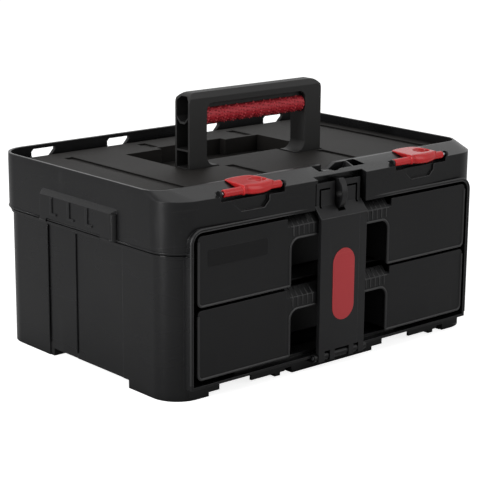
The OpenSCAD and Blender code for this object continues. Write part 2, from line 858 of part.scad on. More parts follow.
module upper_drawer_tub() { tub(upper_z); }
module lower_drawer_tub() { tub(lower_z); }
module upper_drawer_front() { front_panel(upper_z); }
module lower_drawer_front() { front_panel(lower_z); }
module upper_dividers() { dividers(upper_z); }
module lower_dividers() { dividers(lower_z); }

// ---------- handle ----------

module handle_outline() {
    top_r = 12;
    win_r = 9;
    win_top = handle_top - bar_drop;
    difference() {
        union() {
            translate([-handle_half, pivot_z]) square([2 * handle_half, handle_h - top_r]);
            translate([-handle_half + top_r, pivot_z]) square([2 * (handle_half - top_r), handle_h]);
            for (s = [-1, 1]) translate([s * (handle_half - top_r), handle_top - top_r]) circle(top_r);
        }
        translate([-leg_in, pivot_z - 1]) square([2 * leg_in, win_top - win_r - pivot_z + 1]);
        translate([-leg_in + win_r, pivot_z - 1]) square([2 * (leg_in - win_r), win_top - pivot_z + 1]);
        for (s = [-1, 1]) translate([s * (leg_in - win_r), win_top - win_r]) circle(win_r);
    }
    // flared feet
    for (s = [-1, 1]) mirror([s > 0 ? 0 : 1, 0]) {
        translate([leg_in - flare, pivot_z + 3]) square([flare + 1, 4]);
        difference() {
            translate([leg_in - flare_r, pivot_z + 6]) square([flare_r + 1, flare_r + 1]);
            translate([leg_in - flare_r, pivot_z + 7 + flare_r]) circle(flare_r);
        }
    }
}

module handle() {
    chamfer = 6;
    skin = 2.8;
    channel_d = 22;
    // low side, high side, cut of the lower corners, cut of the upper corners
    cells = [[6.5, 25.5, 0.5, 0.5], [27.5, 57, 0.5, -6], [59.5, handle_h - 4, 6, 5]];
    color(black) difference() {
        union() {
            intersection() {
                along_y(handle_y0, handle_y1) handle_outline();
                along_x(-handle_half - 1, handle_half + 1)
                    polygon([
                        [handle_y0, pivot_z - 1], [handle_y0, handle_top - chamfer],
                        [handle_y0 + chamfer, handle_top], [handle_y1 - chamfer, handle_top],
                        [handle_y1, handle_top - chamfer], [handle_y1, pivot_z - 1]
                    ]);
            }
            for (s = [-1, 1]) {
                x0 = s > 0 ? leg_in : -handle_half;
                rod_x(x0, x0 + leg_w, pivot_y, pivot_z, handle_t / 2);
            }
            // web that carries the grip
            box(-leg_in - 1, leg_in + 1, grip_y - web_t / 2, grip_y + web_t / 2, grip_z - 4.5, handle_top - bar_drop + 1);
        }
        // open channel in the outer side of each leg
        for (s = [-1, 1], c = cells) {
            a = handle_y0 + skin;
            b = handle_y1 - skin;
            low = pivot_z + c[0];
            high = pivot_z + c[1];
            corner = abs(c[3]);
            x0 = s > 0 ? handle_half - channel_d : -handle_half - 1;
            along_x(x0, x0 + channel_d + 1)
                polygon([
                    [a + c[2], low], [b - c[2], low], [b, low + c[2]], [b, high - c[3]],
                    [b - corner, high], [a + corner, high], [a, high - c[3]], [a, low + c[2]]
                ]);
        }
        rod_x(-handle_half - 1, handle_half + 1, pivot_y, pivot_z, handle_pin_r + pin_fit);
    }
}

module handle_grip() {
    color(red) difference() {
        rod_x(-leg_in + 0.6, leg_in - 0.6, grip_y, grip_z, grip_r);
        box(-leg_in, leg_in, grip_y - web_t / 2 - 0.1, grip_y + web_t / 2 + 0.1, grip_z - 4.6, grip_z + 20);
    }
}

module handle_pin(s) {
    x0 = s > 0 ? slot_in - well_wall : -well_half - 5;
    color(steel) rod_x(x0, x0 + well_half + 5 - slot_in + well_wall, pivot_y, pivot_z, handle_pin_r);
}

module handle_pin_left() { handle_pin(-1); }
module handle_pin_right() { handle_pin(1); }

// ---------- latches ----------

// underside of a latch blade, just clear of the sloped edge
function blade_under(y) = 0.6 + bevel_z - latch_z + bevel_slope * (y + latch_y - front_y - bow / 2);

module latch(xc) {
    half = latch_w / 2;
    band = [-12, 26.5];
    blade_y = 29;
    color(red) translate([xc, latch_y, latch_z]) difference() {
        union() {
            rod_x(-half, half, 0, 0, latch_r);
            // broad band in the middle
            intersection() {
                rod_x(band[0], band[1], 0, 0, band_r);
                box(band[0], band[1], -5.8, 5.5, -5.6, 6.2);
            }
            // blade that lies on the sloped edge
            intersection() {
                translate([0, 0, -5]) linear_extrude(20)
                    polygon([
                        [-20, 22], [-13, 27], [-3, blade_y], [12, blade_y], [22, 26], [band[1], 17],
                        [band[1], -2], [band[0], -2], [band[0], 12], [-15, 17]
                    ]);
                along_x(-half, half)
                    polygon([
                        [-2, -1], [0, -1], [blade_y, blade_under(blade_y)],
                        [blade_y, 7.4], [2, 6.2], [-2, 6.2]
                    ]);
            }
        }
        // finger dish
        intersection() {
            linear_extrude(20) polygon([[-9, 10], [-4, 19], [10, 22], [19, 18], [20, 7], [-6, 6]]);
            along_x(-half, half)
                polygon([[4, blade_under(4) + 3], [24, blade_under(24) + 1.2], [24, 12], [4, 12]]);
        }
        box(9, 17, 9, 16, -5, 12);
        rod_x(-half - 1, half + 1, 0, 0, latch_pin_r + pin_fit);
    }
}

module latch_pin(xc) {
    color(steel) rod_x(xc - notch_half - 1.8, xc + notch_half + 1.8, latch_y, latch_z, latch_pin_r);
}

module latch_left() { latch(-latch_x); }
module latch_right() { latch(latch_x); }
module latch_pin_left() { latch_pin(-latch_x); }
module latch_pin_right() { latch_pin(latch_x); }

// ---------- lock bar ----------

module lock_bar() {
    side_t = 3;
    color(black) difference() {
        union() {
            along_x(-bar_half, bar_half)
                polygon([
                    [bar_y, bar_pin_z - barrel_r], [bar_y, shoulder_z], [head_y, opening_z + 2],
                    [head_y, head_z], [head_y + bar_t, head_z], [head_y + bar_t, opening_z + 0.5],
                    [bar_y + bar_t, shoulder_z - 1.5], [bar_y + bar_t, bar_pin_z - barrel_r]
                ]);
            // stiffening edges
            for (x = [-bar_half, bar_half - side_t])
                box(x, x + side_t, bar_y, front_y, bar_pin_z - barrel_r, shoulder_z - 2);
            // barrels around the pin
            rod_x(-bar_half, bar_half, bar_pin_y, bar_pin_z, barrel_r);
        }
        for (e = bar_ears)
            box(e[0] - ear_gap, e[1] + ear_gap, bar_y - 1, front_y + 20, bar_pin_z - barrel_r - 1, bar_pin_z + barrel_r + 2);
        // slot for the padlock eye
        box(-fin_half - 1.6, fin_half + 1.6, bar_y - 1, front_y + 20, fin_z0 - 2.5, head_z + 1);
        rod_x(-bar_half - 1, bar_half + 1, bar_pin_y, bar_pin_z, bar_pin_r + pin_fit);
        // set-back strip along the right edge
        box(bar_half - 11.6, bar_half + 1, bar_y - 1, bar_y + 0.8, bar_pin_z - barrel_r - 1, shoulder_z - 1);
        // seat of the badge
        along_y(bar_y - 1, bar_y + 1) stadium(badge_w + 0.4, badge_h + 0.4);
    }
}

module stadium(w, h) {
    translate([-w / 2, badge_z - (h - w) / 2]) square([w, h - w]);
    for (s = [-1, 1]) translate([0, badge_z + s * (h - w) / 2]) circle(w / 2);
}

module badge() {
    color(red) along_y(bar_y - badge_proud, bar_y + 0.9) stadium(badge_w, badge_h);
}

module lock_bar_pin() {
    color(steel) rod_x(-bar_half - 5, bar_half + 5, bar_pin_y, bar_pin_z, bar_pin_r);
}

casing();
top_cover();
cover_deck();
padlock_eye();
mid_shelf();
upper_runner_left();
upper_runner_right();
lower_runner_left();
lower_runner_right();
runner_screws();
shelf_screws();
cover_screws();
upper_drawer_tub();
upper_drawer_front();
upper_dividers();
lower_drawer_tub();
lower_drawer_front();
lower_dividers();
handle();
handle_grip();
handle_pin_left();
handle_pin_right();
latch_left();
latch_right();
latch_pin_left();
latch_pin_right();
lock_bar();
lock_bar_pin();
badge();
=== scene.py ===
import json
import math

import bmesh
import bpy
from mathutils import Matrix, Vector
from mathutils.bvhtree import BVHTree
from mathutils.geometry import intersect_line_line_2d, intersect_point_line, tessellate_polygon


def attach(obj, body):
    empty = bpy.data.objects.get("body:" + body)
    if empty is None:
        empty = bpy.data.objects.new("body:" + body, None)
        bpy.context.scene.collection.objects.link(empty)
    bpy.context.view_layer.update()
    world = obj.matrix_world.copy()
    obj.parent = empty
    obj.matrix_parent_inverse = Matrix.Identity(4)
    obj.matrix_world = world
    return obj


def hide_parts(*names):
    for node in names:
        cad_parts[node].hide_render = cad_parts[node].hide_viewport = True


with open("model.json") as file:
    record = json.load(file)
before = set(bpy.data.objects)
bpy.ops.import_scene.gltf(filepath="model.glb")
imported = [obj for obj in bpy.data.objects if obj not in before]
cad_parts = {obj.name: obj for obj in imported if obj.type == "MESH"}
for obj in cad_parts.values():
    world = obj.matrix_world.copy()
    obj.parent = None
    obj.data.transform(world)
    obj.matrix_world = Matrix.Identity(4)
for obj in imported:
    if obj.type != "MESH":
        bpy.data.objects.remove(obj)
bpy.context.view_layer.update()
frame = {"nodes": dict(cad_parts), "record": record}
scene = bpy.context.scene
print("frame loaded:", len(frame["nodes"]), "nodes")

mm = 0.001
slotOf = {row["node"]: row["material_slot"] for row in frame["record"]["subparts"]}
bodyOf = {node: body for body, nodes in frame["record"]["behaviour"]["bodies"].items() for node in nodes}


def addNode(tree, kind, x, y, **values):
    node = tree.nodes.new(kind)
    node.location = (x, y)
    for key, value in values.items():
        setattr(node, key, value)
    return node


def plug(tree, *pairs):
    for a, b in pairs:
        tree.links.new(a, b)


def noiseNode(tree, source, x, y, scale, detail, stretch=(1, 1, 1), roughness=0.5):
    place = addNode(tree, "ShaderNodeMapping", x - 200, y)
    place.inputs["Scale"].default_value = stretch
    noise = addNode(tree, "ShaderNodeTexNoise", x, y)
    noise.inputs["Scale"].default_value = scale
    noise.inputs["Detail"].default_value = detail
    noise.inputs["Roughness"].default_value = roughness
    plug(tree, (source, place.inputs["Vector"]), (place.outputs["Vector"], noise.inputs["Vector"]))
    return noise.outputs["Fac"]


def rangeNode(tree, source, x, y, low, high, toLow, toHigh):
    node = addNode(tree, "ShaderNodeMapRange", x, y)
    for key, value in (("From Min", low), ("From Max", high), ("To Min", toLow), ("To Max", toHigh)):
        node.inputs[key].default_value = value
    plug(tree, (source, node.inputs["Value"]))
    return node.outputs["Result"]


def mixColour(tree, x, y, amount, first, second):
    node = addNode(tree, "ShaderNodeMix", x, y, data_type="RGBA")
    plug(tree, (amount, node.inputs["Factor"]))
    for socket, value in ((node.inputs["A"], first), (node.inputs["B"], second)):
        if isinstance(value, tuple):
            socket.default_value = (*value, 1)
        else:
            plug(tree, (value, socket))
    return node.outputs["Result"]


# what every finish shares: ranges are from low to high, steps are in metres
finish = {"cloudRange": (0.35, 0.68),
          "scuffs": ((90.0, (0.12, 1.0, 2.4)), (70.0, (1.8, 0.9, 0.14))), "scuffRange": (0.66, 0.8),
          "edgeRange": (0.995, 0.90), "patchScale": 60.0, "patchRange": (0.3, 0.7), "patchShare": (0.25, 1.0),
          "hollowRange": (0.25, 0.85), "paintedShadeFactor": 0.18, "flowRange": (0.3, 0.7), "rubShine": 0.08,
          "fineGrain": 2.7, "grainStep": 0.00012, "swellScale": 14.0, "swellStep": 0.0012, "samples": 6}


# moulded plastic: cloudy tone, spark-eroded grain, faint scuffs, edges rubbed a little paler with a painted
# highlight, and painted shade in the hollows
def plastic(name, look):
    mat = bpy.data.materials.new(name)
    mat.use_nodes = True
    tree = mat.node_tree
    tree.nodes.clear()
    out = addNode(tree, "ShaderNodeOutputMaterial", 1300, 0)
    bsdf = addNode(tree, "ShaderNodeBsdfPrincipled", 1000, 0)
    coord = addNode(tree, "ShaderNodeTexCoord", -1500, 0).outputs["Object"]

    cloud = noiseNode(tree, coord, -1000, 500, look["cloudScale"], 3.0)
    cloudy = rangeNode(tree, cloud, -600, 500, *finish["cloudRange"], 0, 1)
    tone = mixColour(tree, -300, 500, cloudy, look["dark"], look["light"])

    # hair-fine scuffs in two directions
    both = addNode(tree, "ShaderNodeMath", -600, 100, operation="MAXIMUM")
    for k, (scale, stretch) in enumerate(finish["scuffs"]):
        plug(tree, (noiseNode(tree, coord, -1000, 200 - 200 * k, scale, 2.0, stretch, 0.6), both.inputs[k]))
    scuff = rangeNode(tree, both.outputs[0], -300, 100, *finish["scuffRange"], 0.0, 1.0)

    # edge mask from the rounded normal, for rubbed wear and a painted edge highlight
    soft = addNode(tree, "ShaderNodeBevel", -1000, -600, samples=finish["samples"])
    soft.inputs["Radius"].default_value = look["edge"]
    plain = addNode(tree, "ShaderNodeNewGeometry", -1000, -800)
    turn = addNode(tree, "ShaderNodeVectorMath", -800, -700, operation="DOT_PRODUCT")
    plug(tree, (soft.outputs["Normal"], turn.inputs[0]), (plain.outputs["Normal"], turn.inputs[1]))
    edge = rangeNode(tree, turn.outputs["Value"], -600, -700, *finish["edgeRange"], 0.0, 1.0)
    rubAndSheen = addNode(tree, "ShaderNodeMath", -300, -700, operation="MULTIPLY")
    patchy = noiseNode(tree, coord, -1000, -1000, finish["patchScale"], 3.0)
    patches = rangeNode(tree, patchy, -600, -1000, *finish["patchRange"], *finish["patchShare"])
    plug(tree, (edge, rubAndSheen.inputs[0]), (patches, rubAndSheen.inputs[1]))

    # painted highlight: the pale colour along edges is partly rubbed wear and partly a painted highlight
    wornAndSheen = mixColour(tree, 300, 400, rubAndSheen.outputs[0], tone, look["wornAndSheen"])
    marks = addNode(tree, "ShaderNodeMath", 0, 250, operation="MULTIPLY")
    marks.inputs[1].default_value = look["scuff"]
    plug(tree, (scuff, marks.inputs[0]))
    scuffed = mixColour(tree, 450, 400, marks.outputs[0], wornAndSheen, look["wornAndSheen"])

    # painted shade: grooves and hollows are darkened towards a deeper tone by occlusion
    hollow = addNode(tree, "ShaderNodeAmbientOcclusion", 300, 700, samples=finish["samples"])
    hollow.inputs["Distance"].default_value = look["hollow"]
    unshaded = rangeNode(tree, hollow.outputs["AO"], 450, 700, *finish["hollowRange"], 0.0, 1.0)
    paintedShade = tuple(finish["paintedShadeFactor"] * part for part in look["dark"])
    colour = mixColour(tree, 700, 400, unshaded, paintedShade, scuffed)

    # roughness drifts with the flow of the melt
    flow = noiseNode(tree, coord, -1000, -200, look["flowScale"], 3.0, look["flow"])
    rough = rangeNode(tree, flow, 300, 100, *finish["flowRange"],
                      look["roughness"] - look["spread"], look["roughness"] + look["spread"])
    shine = addNode(tree, "ShaderNodeMath", 600, 100, operation="SUBTRACT")
    dull = addNode(tree, "ShaderNodeMath", 300, -100, operation="MULTIPLY")
    dull.inputs[1].default_value = finish["rubShine"]
    plug(tree, (rubAndSheen.outputs[0], dull.inputs[0]), (rough, shine.inputs[0]), (dull.outputs[0], shine.inputs[1]))

    # two sizes of grain under one bump
    coarse = noiseNode(tree, coord, -1000, -1200, look["grainScale"], 2.0)
    fine = noiseNode(tree, coord, -1000, -1400, look["grainScale"] * finish["fineGrain"], 1.0)
    grain = addNode(tree, "ShaderNodeMath", -300, -1300, operation="ADD")
    swell = noiseNode(tree, coord, -1000, -1600, finish["swellScale"], 2.0)
    plug(tree, (coarse, grain.inputs[0]), (fine, grain.inputs[1]))
    bump = addNode(tree, "ShaderNodeBump", 300, -900)
    bump.inputs["Strength"].default_value = look["grainDepth"]
    bump.inputs["Distance"].default_value = finish["grainStep"]
    sink = addNode(tree, "ShaderNodeBump", 600, -900)
    sink.inputs["Strength"].default_value = look["sink"]
    sink.inputs["Distance"].default_value = finish["swellStep"]
    plug(tree,
         (soft.outputs["Normal"], bump.inputs["Normal"]),
         (grain.outputs[0], bump.inputs["Height"]),
         (bump.outputs["Normal"], sink.inputs["Normal"]),
         (swell, sink.inputs["Height"]),
         (sink.outputs["Normal"], bsdf.inputs["Normal"]),
         (colour, bsdf.inputs["Base Color"]),
         (shine.outputs[0], bsdf.inputs["Roughness"]),
         (bsdf.outputs["BSDF"], out.inputs["Surface"]))
    bsdf.inputs["Specular IOR Level"].default_value = look["specular"]
    bsdf.inputs["Metallic"].default_value = look.get("metal", 0.0)
    return mat


wallLook = {"dark": (0.0058, 0.0059, 0.0063), "light": (0.0086, 0.0086, 0.0091),
            "wornAndSheen": (0.034, 0.034, 0.036), "roughness": 0.28, "spread": 0.04, "specular": 0.20,
            "cloudScale": 7.0, "flowScale": 9.0, "flow": (0.5, 0.5, 1.6),
            "grainScale": 1500.0, "grainDepth": 0.30, "sink": 0.05, "scuff": 0.22,
            "edge": 0.0009, "hollow": 0.014}  # reach of the rubbed edges with their painted highlight and of the painted shade in hollows, in metres
# painted light: the deck's base colours are warmer and paler than the walls' for the warm light falling on it
# from above
litDeckLook = dict(wallLook, dark=(0.0070, 0.0062, 0.0056), light=(0.0100, 0.0090, 0.0080),
                wornAndSheen=(0.040, 0.037, 0.034), roughness=0.60, specular=0.13,
                grainScale=1100.0, grainDepth=0.45, scuff=0.35)
frontLook = dict(wallLook, roughness=0.44, sink=0.08, specular=0.18)
fieldLook = dict(frontLook, dark=(0.0048, 0.0048, 0.0051), light=(0.0060, 0.0060, 0.0064),
                 roughness=0.52, specular=0.14)
# painted highlight: lips, beads and ribs get a paler base than the walls so they read as lit edges
lipHighlightLook = dict(wallLook, dark=(0.0150, 0.0150, 0.0156), light=(0.0210, 0.0210, 0.0216),
               roughness=0.30, specular=0.36, grainDepth=0.15, sink=0.0, edge=0.0004, hollow=0.003)
barLook = dict(wallLook, dark=(0.0110, 0.0111, 0.0118), light=(0.0150, 0.0150, 0.0156),
               roughness=0.38, grainDepth=0.2)
handleLook = dict(wallLook, dark=(0.0150, 0.0148, 0.0146), light=(0.0200, 0.0197, 0.0194),
                  roughness=0.5, grainDepth=0.35)
tubLook = dict(wallLook, dark=(0.0065, 0.0066, 0.0070), light=(0.0090, 0.0090, 0.0095),
               roughness=0.5, specular=0.18)
innerLook = dict(tubLook, dark=(0.0075, 0.0075, 0.0078), light=(0.0100, 0.0100, 0.0104), roughness=0.58)
latchLook = dict(wallLook, dark=(0.52, 0.012, 0.015), light=(0.64, 0.021, 0.021), wornAndSheen=(0.78, 0.12, 0.09),
                 roughness=0.20, spread=0.04, specular=0.30, hollow=0.016,
                 grainDepth=0.10, sink=0.04, scuff=0.30, edge=0.0007)
gripLook = dict(latchLook, dark=(0.44, 0.018, 0.030), light=(0.56, 0.030, 0.044), wornAndSheen=(0.72, 0.12, 0.12),
                roughness=0.46, specular=0.30, grainDepth=0.25, edge=0.0004)
badgeLook = dict(latchLook, dark=(0.44, 0.036, 0.042), light=(0.50, 0.046, 0.052), wornAndSheen=(0.62, 0.10, 0.10),
                 roughness=0.42, specular=0.26, grainDepth=0.18, scuff=0.2)
steelLook = dict(wallLook, dark=(0.42, 0.43, 0.45), light=(0.55, 0.56, 0.58), wornAndSheen=(0.72, 0.72, 0.73),
                 metal=1.0, roughness=0.30, spread=0.08, specular=0.5,
                 grainDepth=0.08, sink=0.0, scuff=0.5, edge=0.0003)

wallPaint = plastic("wallPlastic", wallLook)
deckPaint = plastic("deckPlastic", litDeckLook)
frontPaint = plastic("frontPlastic", frontLook)
barPaint = plastic("barPlastic", barLook)
handlePaint = plastic("handlePlastic", handleLook)
lipHighlightPaint = plastic("lipPlasticHighlight", lipHighlightLook)
tubPaint = plastic("tubPlastic", tubLook)
innerPaint = plastic("innerPlastic", innerLook)
latchPaint = plastic("latchRed", latchLook)
gripPaint = plastic("gripRed", gripLook)
badgePaint = plastic("badgeRed", badgeLook)
fieldPaint = plastic("fieldPlastic", fieldLook)
steelPaint = plastic("zincSteel", steelLook)
print("materials done")


# a finished piece that rides on a body, and may stand for a node
def newPiece(name, mesh, mat, body, slot, *nodes):
    obj = bpy.data.objects.new(name, mesh)
    scene.collection.objects.link(obj)
    mesh.materials.clear()
    mesh.materials.append(mat)
    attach(obj, body)
    if nodes:
        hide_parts(*nodes)


# flat and angle are in degrees, straight and square in radians, and agree is a cosine:
# below it faces meet in a crease
rounding = {"widths": (0.6 * mm, 0.35 * mm), "segments": 2, "weld": 0.002 * mm, "flat": 1.0, "angle": 32.0,
            "straight": 2.6, "square": 1.5, "agree": 0.8, "share": 0.42, "tries": 5}


# merged copy of a node's mesh, with flat areas joined to single faces
def mergedCopy(node):
    mesh = frame["nodes"][node].data.copy()
    bm = bmesh.new()
    bm.from_mesh(mesh)
    bmesh.ops.remove_doubles(bm, verts=bm.verts, dist=rounding["weld"])
    bmesh.ops.dissolve_limit(bm, angle_limit=math.radians(rounding["flat"]), verts=bm.verts, edges=bm.edges)
    bm.to_mesh(mesh)
    bm.free()
    return mesh


def isSharp(edge):
    return len(edge.link_faces) == 2 and edge.calc_face_angle() > math.radians(rounding["angle"])


# how far an edge may be rounded before its new sides run past the edges beside it
def roomBeside(edge):
    length = edge.calc_length()
    room = length * 4
    for vert in edge.verts:
        along = (edge.other_vert(vert).co - vert.co).normalized()
        for face in edge.link_faces:
            other = next(e for e in face.edges if e is not edge and vert in e.verts)
            away = other.other_vert(vert).co - vert.co
            turn = along.angle(away.normalized())
            if isSharp(other):
                if turn < rounding["straight"]:
                    room = min(room, min(length, away.length) * math.tan(turn / 2))
            elif turn < rounding["square"]:
                room = min(room, away.length * math.sin(turn), length * math.tan(turn))
            else:
                room = min(room, away.length)
    return room


def triangleArea(coords, corners):
    a, b, c = (coords[k] for k in corners)
    return (b - a).cross(c - a) / 2


# triangles of one wide face, and the places where its outline crosses itself
def splitFace(coords, corners, normal, area):
    parts = [[corners[k] for k in part] for part in tessellate_polygon([[coords[c] for c in corners]])]
    crossings = []
    if abs(sum(triangleArea(coords, part).length for part in parts) - area) > 0.0005 * area + 1e-9:
        side = normal.orthogonal().normalized()
        other = normal.cross(side)
        flat = [Vector((coords[c].dot(side), coords[c].dot(other))) for c in corners]
        count = len(flat)
        for a in range(count):
            for b in range(a + 2, count - (a == 0)):
                if intersect_line_line_2d(flat[a], flat[a + 1], flat[b], flat[(b + 1) % count]):
                    crossings += [coords[corners[k % count]] for k in (a, a + 1, b, b + 1)]
        crossings = crossings or [coords[c] for c in corners]
    return [part if triangleArea(coords, part).dot(normal) > 0 else part[::-1] for part in parts], crossings


# the true arc's normal where a corner lies on one of the upright round corners
def postNormal(spot, face, posts):
    if abs(face.normal.z) < 0.3:
        for x, y, radius in posts:
            away = Vector((spot.x - x * mm, spot.y - y * mm, 0))
            if abs(away.length - radius * mm) < 0.25 * mm and away.normalized().dot(face.normal) > 0.98:
                return away.normalized()
    return None


# wide faces are split, and a corner's normal averages only the faces that nearly agree with its own;
# if an outline crosses itself, the mesh stays as it is and the places are returned
def tidyFaces(mesh, posts):
    coords = [vert.co.copy() for vert in mesh.vertices]
    faces = []
    sizes = []
    crossings = []
    for face in mesh.polygons:
        corners = list(face.vertices)
        parts, spots = [corners], []
        if len(corners) > 4:
            parts, spots = splitFace(coords, corners, face.normal.copy(), face.area)
        faces += parts
        sizes += [face.area] * len(parts)
        crossings += spots
    if crossings:
        return crossings
    mesh.clear_geometry()
    mesh.from_pydata(coords, [], faces)
    bm = bmesh.new()
    bm.from_mesh(mesh)
    normals = []
    for face in bm.faces:
        for vert in face.verts:
            total = Vector((0, 0, 0))
            for corner in vert.link_loops:
                if corner.face.normal.dot(face.normal) > rounding["agree"]:
                    total += corner.face.normal * sizes[corner.face.index] * corner.calc_angle()
            turned = total.normalized() if total.length > 0 else face.normal.copy()
            normals.append(postNormal(vert.co, face, posts) or turned)
    mesh.shade_smooth()
    for edge in bm.edges:
        sides = [face.normal for face in edge.link_faces]
        if len(sides) == 2 and sides[0].dot(sides[1]) < rounding["agree"]:
            mesh.edges[edge.index].use_edge_sharp = True
    bm.free()
    mesh.normals_split_custom_set(normals)
    return []


def bevelled(mesh, width):
    host = bpy.data.objects.new("roundHost", mesh)
    scene.collection.objects.link(host)
    soft = host.modifiers.new("soft", "BEVEL")
    soft.width = width
    soft.segments = rounding["segments"]
    soft.limit_method = "WEIGHT"
    soft.use_clamp_overlap = False
    soft.miter_outer = "MITER_ARC"
    result = evaluated(host)
    bpy.data.objects.remove(host)
    return result


def isClosed(mesh):
    bm = bmesh.new()
    bm.from_mesh(mesh)
    closed = all(edge.is_manifold for edge in bm.edges)
    bm.free()
    return closed


# where two rounded edges would run into each other, both stay sharp
def roundEdges(mesh, width, posts):
    bm = bmesh.new()
    bm.from_mesh(mesh)
    skin = BVHTree.FromBMesh(bm)
    layer = bm.edges.layers.float.new("bevel_weight_edge")
    for edge in bm.edges:
        if isSharp(edge):
            edge[layer] = min(1.0, rounding["share"] * roomBeside(edge) / width)
    work = mesh.copy()
    for _ in range(rounding["tries"]):
        bm.to_mesh(work)
        result = bevelled(work, width)
        for vert in result.vertices:  # a corner that runs out past the part is drawn back onto it
            spot, _, _, gap = skin.find_nearest(vert.co)
            if gap > width:
                vert.co = spot
        crossings = tidyFaces(result, posts)
        if not crossings:
            bm.free()
            return result if isClosed(result) else None
        for edge in bm.edges:
            if edge[layer] > 0:
                a, b = (vert.co for vert in edge.verts)
                for spot in crossings:
                    point, part = intersect_point_line(spot, a, b)
                    if -0.001 < part < 1.001 and (point - spot).length < 1.6 * width:
                        edge[layer] = 0
                        break
    bm.free()
    return None


# upright round corners of the cover in millimetres, whose facets take the normals of the true arc
cornerPosts = [(side * 202.5, y, 38.0) for side in (-1, 1) for y in (-121.7, 132.3)]

# two slots beside and two across the head of the lock bar, and its narrowed sides:
# near and far x, low and high z
headCuts = {"y": (-160.5, -153.5),
            "boxes": ((27.0, 29.6, 184, 207), (13, 29, 205, 207.2), (34.2, 37, 188.5, 216))}
pocketCut = ((-41.2, -172, 184), (-37, -151.2, 215.5))  # the pocket is wider at its left


def mirroredBoxes():
    front, back = headCuts["y"]
    for near, far, low, high in headCuts["boxes"]:
        yield (-far, front, low), (-near, back, high)
        yield (near, front, low), (far, back, high)


cuts = {"lock_bar": list(mirroredBoxes()), "top_cover": [pocketCut]}


# copy of a node with rounded edges, or with sharp ones and even shading where that fails
def softMesh(node):
    plain = mergedCopy(node)
    for low, high in cuts.get(node, ()):
        plain = carved(plain, low, high)
    posts = cornerPosts if node == "top_cover" else ()
    for width in rounding["widths"]:
        result = roundEdges(plain, width, posts)
        if result:
            return result
    print("  edges left to the finish:", node)
    if tidyFaces(plain, posts):  # a wide face too tangled to split here is cut into triangles first
        bm = bmesh.new()
        bm.from_mesh(plain)
        bmesh.ops.triangulate(bm, faces=[face for face in bm.faces if len(face.verts) > 4])
        bm.to_mesh(plain)
        bm.free()
        tidyFaces(plain, posts)
    return plain


# a mesh with a box cut out of it
def carved(mesh, low, high):
    block = bpy.data.meshes.new("block")
    bm = bmesh.new()
    bmesh.ops.create_cube(bm, size=1)
    for vert in bm.verts:
        vert.co = Vector([(a + b) / 2 + t * (b - a) for a, b, t in zip(low, high, vert.co)]) * mm
    bm.to_mesh(block)
    bm.free()
    host = bpy.data.objects.new("carveHost", mesh)
    tool = bpy.data.objects.new("carveTool", block)
    for obj in (host, tool):
        scene.collection.objects.link(obj)
    cut = host.modifiers.new("cut", "BOOLEAN")
    cut.object = tool
    cut.solver = "EXACT"
    result = evaluated(host)
    for obj in (host, tool):
        bpy.data.objects.remove(obj)
    return result


# plain mesh of an object with its modifiers applied
def evaluated(obj):
    deps = bpy.context.evaluated_depsgraph_get()
    return bpy.data.meshes.new_from_object(obj.evaluated_get(deps))


paintOf = {"casing": wallPaint, "top_cover": wallPaint, "cover_deck": deckPaint, "padlock_eye": barPaint,
           "upper_drawer_front": frontPaint, "lower_drawer_front": frontPaint, "upper_drawer_tub": tubPaint,
           "lower_drawer_tub": tubPaint, "handle": handlePaint, "lock_bar": barPaint, "badge": badgePaint}
paintOfSlot = {"steel": steelPaint, "dark_plastic": innerPaint, "black_plastic": wallPaint,
               "red_plastic": latchPaint, "grip_rubber": gripPaint}

for node in frame["nodes"]:
    if node not in ("latch_left", "latch_right"):
        mat = paintOf.get(node, paintOfSlot[slotOf[node]])
        newPiece(node + "Rounded", softMesh(node), mat, bodyOf[node], slotOf[node], node)
print("edges rounded")


# a closed skin through rings that all have the same number of points
def skinRings(bm, rings):
    loops = [[bm.verts.new(Vector(spot) * mm) for spot in ring] for ring in rings]
    for a, b in zip(loops, loops[1:]):
        for k in range(len(a)):
            bm.faces.new((a[k], a[k - 1], b[k - 1], b[k]))
    bm.faces.new(loops[0])
    bm.faces.new(loops[-1][::-1])


# millimetres from the hinge: u runs to the right, v to the rear and w up
latchShape = {"y": -159.2, "z": 222.3, "half": 41.0, "barrel": 4.3,
              "bladeLeft": -15, "bladeWide": 44, "bladeFront": -3, "bladeRows": 36,
              "rear": ((-15, 27), (-13, 30), (-3, 32.4), (8, 33), (17, 32), (22, 30),
                       (26, 25.5), (28.3, 17), (29, 9)),
              "under": (-2.35, 0.2833, 6.15), "top": (6.3, 0.035), "rim": 2.2, "rimDrop": 0.7,
              "dish": (16.5, 10.5), "dishSize": (10.5, 9.0), "dishDepth": 5.4,
              "bandLeft": -15.0, "bandRight": 25.0, "bandSteps": 80, "bandSides": 48,
              "bow": 3.2, "square": 0.72, "voxel": 0.5, "relax": 7,
              "places": {"latch_left": -130.5, "latch_right": 128.2}}


def rearEdge(u):
    rows = latchShape["rear"]
    for (a, va), (b, vb) in zip(rows, rows[1:]):
        if u <= b:
            return va + (vb - va) * (u - a) / (b - a)
    return rows[-1][1]


# underside and top of the blade that lies on the sloped edge, measured from the hinge
def bladeHeights(u, v):
    start, slope, flat = latchShape["under"]
    under = min(start + slope * (v - latchShape["bladeFront"]), flat)
    top = max(latchShape["top"][0] + latchShape["top"][1] * v, under + 0.9)
    centre, size = latchShape["dish"], latchShape["dishSize"]
    reach = ((u - centre[0]) / size[0]) ** 2 + ((v - centre[1]) / size[1]) ** 2
    if reach < 1:
        top = max(top - latchShape["dishDepth"] * (1 - reach) ** 0.3, under + 0.8)
    edge = min(rearEdge(u) - v, u + 15.5, 29.5 - u)
    return under, top - latchShape["rimDrop"] * max(0.0, 1 - edge / latchShape["rim"]) ** 2


